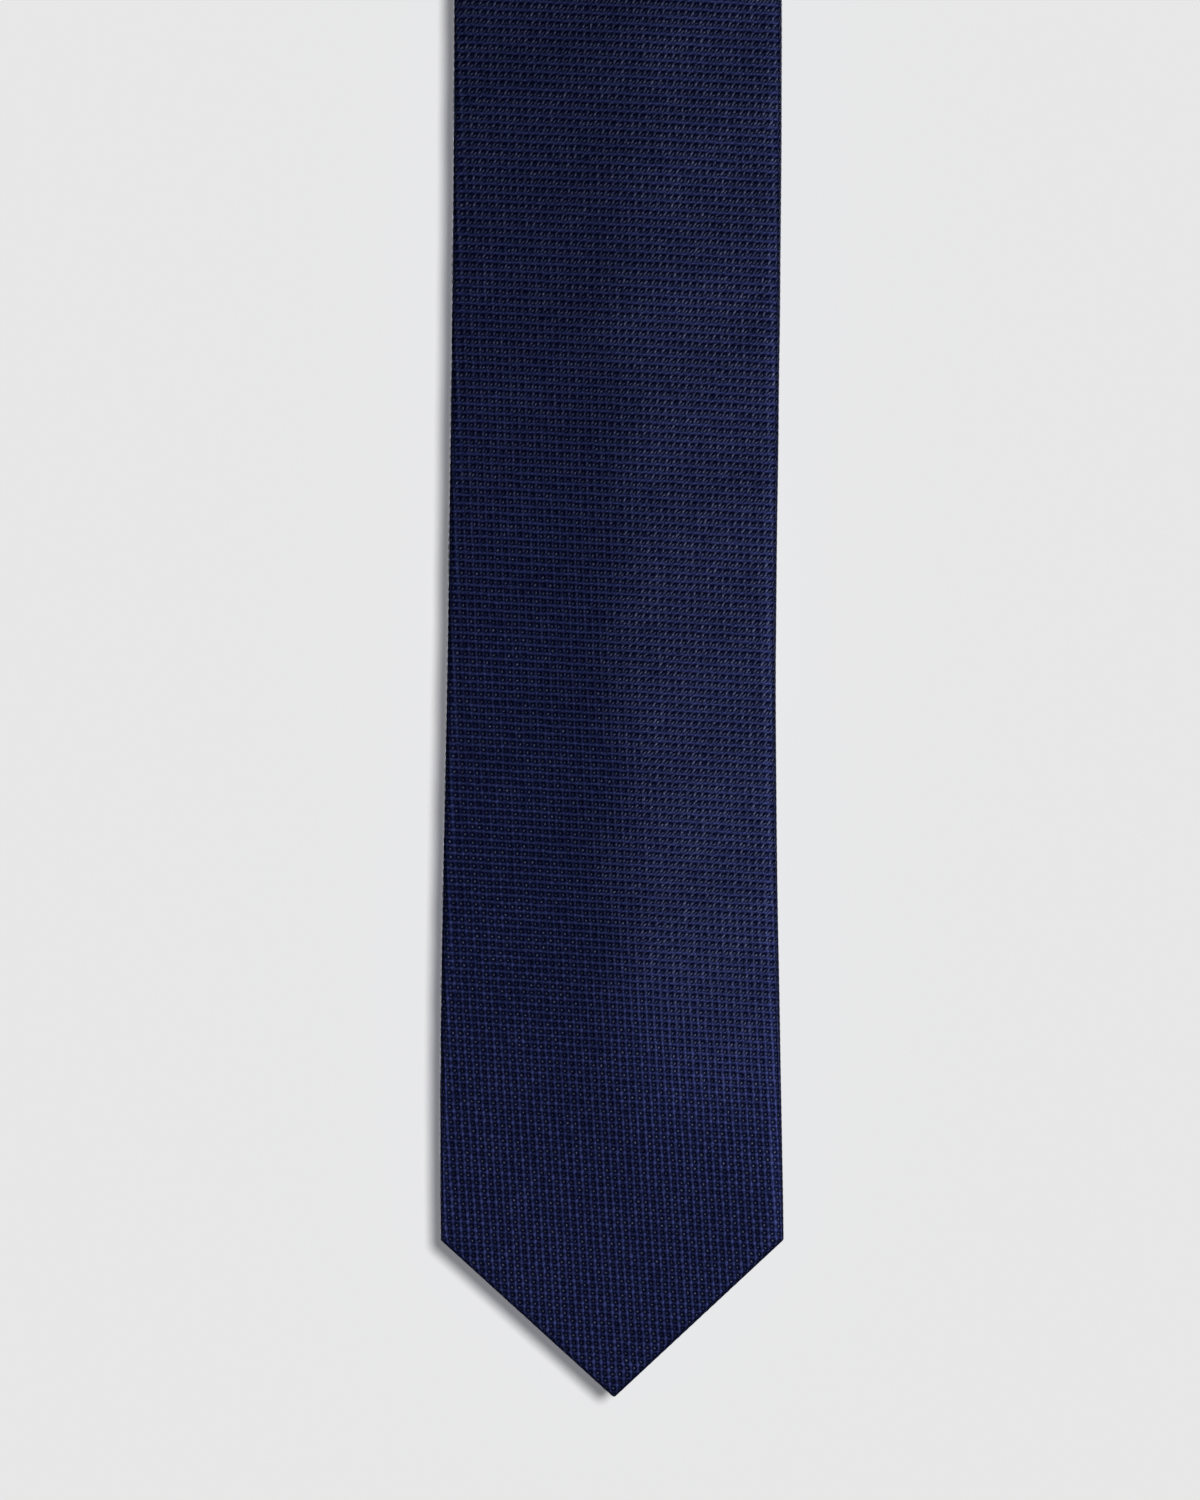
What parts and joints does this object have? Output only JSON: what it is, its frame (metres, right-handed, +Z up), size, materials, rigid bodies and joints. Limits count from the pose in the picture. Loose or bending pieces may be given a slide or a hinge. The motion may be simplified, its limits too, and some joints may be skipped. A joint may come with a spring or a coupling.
{
  "type": "necktie",
  "caption": "Necktie folded over at the neck: a pointed front blade and a narrower tail in navy micro-weave silk, interlined and lined, with a keeper loop and blank labels.",
  "frame": {"origin": "top of the rail that the tie hangs over, on the inner face of the neck at the middle of its width", "axes": "+Z up; the front blade hangs down -Z with its face to -Y, and the tail hangs behind it with its face to +Y; +X across the tie"},
  "size_m": [0.07, 0.0164, 0.8843],
  "materials": {
    "navy_silk_weave": "small raised jacquard weave in navy silk with a soft sheen",
    "navy_satin_tipping": "smooth satin lining",
    "wool_interlining": "brushed matt wool and cotton interlining",
    "navy_thread": "twisted sewing thread",
    "woven_label_satin": "blank damask-woven label with a plain woven border",
    "care_label_satin": "blank white satin ribbon"
  },
  "bodies": {
    "root": {"front_blade_shell": "navy_silk_weave", "neck_gusset_shell": "navy_silk_weave", "front_interlining": "wool_interlining", "front_tipping": "navy_satin_tipping", "front_tip_seam_thread": "navy_thread", "blade_gusset_seam_thread": "navy_thread", "slip_stitch_thread": "navy_thread", "front_bar_tack": "navy_thread", "keeper_loop_tack_left": "navy_thread", "keeper_loop_tack_right": "navy_thread", "woven_label": "woven_label_satin", "woven_label_stitch_left": "navy_thread", "woven_label_stitch_right": "navy_thread", "care_label_stitch": "navy_thread"},
    "tail": {"tail_blade_shell": "navy_silk_weave", "tail_interlining": "wool_interlining", "interlining_join_stitch": "navy_thread", "tail_tipping": "navy_satin_tipping", "tail_tip_seam_thread": "navy_thread", "gusset_tail_seam_thread": "navy_thread", "tail_bar_tack": "navy_thread"},
    "keeper_loop": {"keeper_loop": "navy_silk_weave"},
    "care_label": {"care_label": "care_label_satin"}
  },
  "joints": [
    {"name": "neck_fold", "type": "hinge", "parent": "root", "child": "tail", "pos_m": [0, 0, -0.004], "axis": [1, 0, 0], "range_deg": [0, 180], "deforming": ["neck_gusset_shell", "front_interlining", "slip_stitch_thread"]},
    {"name": "keeper_loop_flatten", "type": "slide", "parent": "root", "child": "keeper_loop", "axis": [0, -1, 0], "range_m": [0, 0.0045], "stiffness_N_per_m": 20, "deforming": ["keeper_loop"]},
    {"name": "care_label_swing", "type": "hinge", "parent": "root", "child": "care_label", "pos_m": [0, -0.0035, -0.7085], "axis": [1, 0, 0], "range_deg": [0, 140]}
  ]
}
